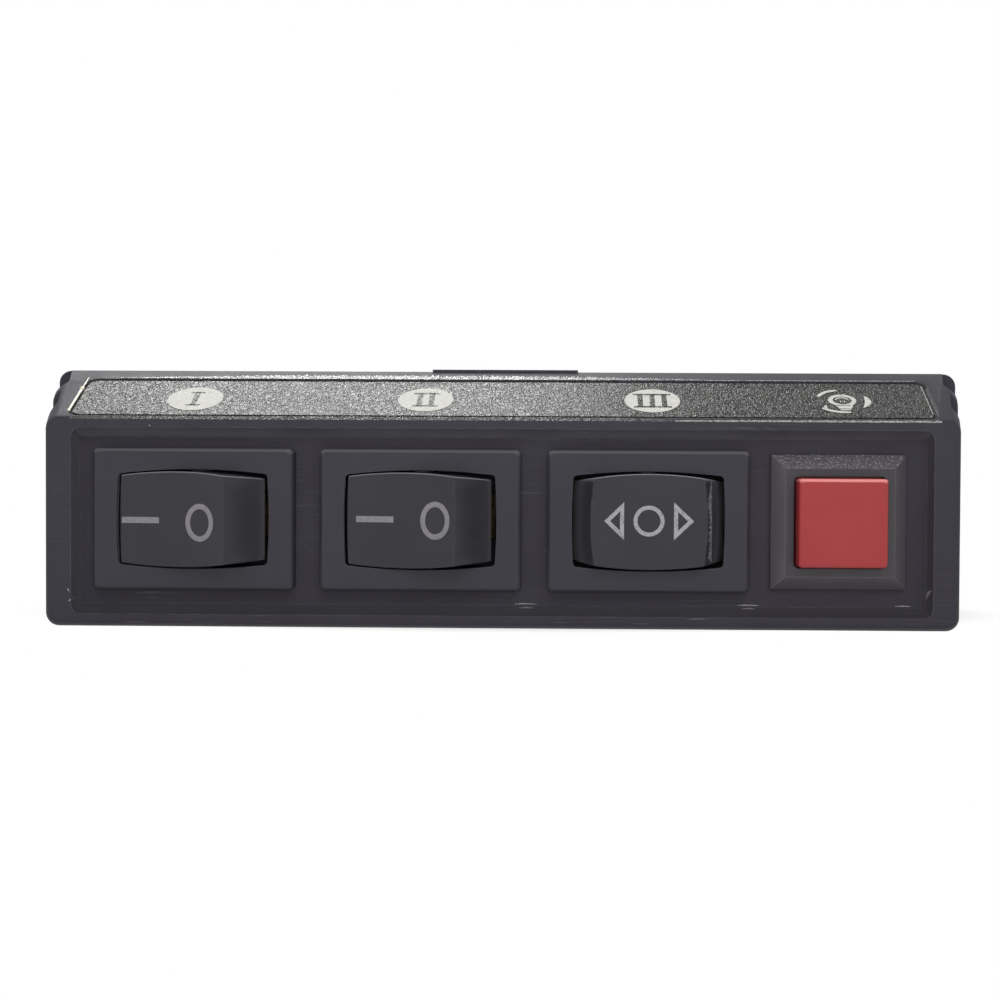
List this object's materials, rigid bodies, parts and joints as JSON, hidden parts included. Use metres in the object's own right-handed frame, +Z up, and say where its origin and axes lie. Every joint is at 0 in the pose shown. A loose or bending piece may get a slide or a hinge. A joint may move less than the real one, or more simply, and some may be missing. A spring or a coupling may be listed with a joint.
{
  "type": "switch panel",
  "caption": "Box-shaped switch panel with on/off rockers, a three-position rocker and a red push button below a sloped label strip.",
  "frame": {"origin": "middle of the base, half way between the front rim and the back of the housing", "axes": "+X along the row of switches to the right as seen from the front, +Y to the back, +Z up"},
  "size_m": [0.0992, 0.0485, 0.0275],
  "materials": {
    "housing_plastic": "fine moulded texture, semi-matt black",
    "bezel_plastic": "satin black",
    "rocker_plastic": "smooth satin black",
    "button_bezel_plastic": "grained black",
    "red_cap": "satin red",
    "base_plastic": "brown-black moulding",
    "label_film": "pebbled film with printed signs",
    "screw_steel": "zinc plated",
    "grommet_rubber": "matt black",
    "plunger_nylon": "natural nylon",
    "spring_steel": "bright wire",
    "contact_brass": "stamped brass"
  },
  "bodies": {
    "housing": {"front_housing": "housing_plastic", "rear_cover": "housing_plastic", "cover_screws": "screw_steel", "cable_grommet": "grommet_rubber", "label_strip": "label_film", "switch_1_case": "bezel_plastic", "switch_1_common_terminal": "contact_brass", "switch_1_outer_terminal": "contact_brass", "switch_2_case": "bezel_plastic", "switch_2_common_terminal": "contact_brass", "switch_2_outer_terminal": "contact_brass", "switch_3_case": "bezel_plastic", "switch_3_common_terminal": "contact_brass", "switch_3_right_terminal": "contact_brass", "switch_3_left_terminal": "contact_brass", "button_case": "button_bezel_plastic", "button_spring": "spring_steel", "button_base": "base_plastic", "button_left_terminal": "contact_brass", "button_right_terminal": "contact_brass"},
    "rocker_1": {"switch_1_rocker": "rocker_plastic", "switch_1_plunger": "plunger_nylon", "switch_1_spring": "spring_steel"},
    "blade_1": {"switch_1_blade": "contact_brass"},
    "rocker_2": {"switch_2_rocker": "rocker_plastic", "switch_2_plunger": "plunger_nylon", "switch_2_spring": "spring_steel"},
    "blade_2": {"switch_2_blade": "contact_brass"},
    "rocker_3": {"switch_3_rocker": "rocker_plastic", "switch_3_plunger": "plunger_nylon", "switch_3_spring": "spring_steel"},
    "blade_3": {"switch_3_blade": "contact_brass"},
    "button": {"button_cap": "red_cap", "button_bridge": "contact_brass"}
  },
  "joints": [
    {"name": "rocker_1_tilt", "type": "hinge", "parent": "housing", "child": "rocker_1", "pos_m": [-0.03215, -0.0174, 0.01128], "axis": [0, 0, 1], "range_deg": [0, 34]},
    {"name": "blade_1_tilt", "type": "hinge", "parent": "housing", "child": "blade_1", "pos_m": [-0.03215, -0.01088, 0.01128], "axis": [0, 0, 1], "range_deg": [-14, 0]},
    {"name": "rocker_2_tilt", "type": "hinge", "parent": "housing", "child": "rocker_2", "pos_m": [-0.0084, -0.0174, 0.01128], "axis": [0, 0, 1], "range_deg": [0, 34]},
    {"name": "blade_2_tilt", "type": "hinge", "parent": "housing", "child": "blade_2", "pos_m": [-0.0084, -0.01088, 0.01128], "axis": [0, 0, 1], "range_deg": [-14, 0]},
    {"name": "rocker_3_tilt", "type": "hinge", "parent": "housing", "child": "rocker_3", "pos_m": [0.01535, -0.0174, 0.01128], "axis": [0, 0, 1], "range_deg": [-12, 12]},
    {"name": "blade_3_tilt", "type": "hinge", "parent": "housing", "child": "blade_3", "pos_m": [0.01535, -0.01088, 0.01128], "axis": [0, 0, 1], "range_deg": [-7, 7]},
    {"name": "button_press", "type": "slide", "parent": "housing", "child": "button", "axis": [0, 1, 0], "range_m": [0, 0.0018], "stiffness_N_per_m": 300, "springref_m": -0.002, "deforming": ["button_spring"]}
  ],
  "couplings": [
    {"joint": "blade_1_tilt", "follows": "rocker_1_tilt", "ratio": -0.4117},
    {"joint": "blade_2_tilt", "follows": "rocker_2_tilt", "ratio": -0.4117},
    {"joint": "blade_3_tilt", "follows": "rocker_3_tilt", "ratio": -0.5833}
  ]
}
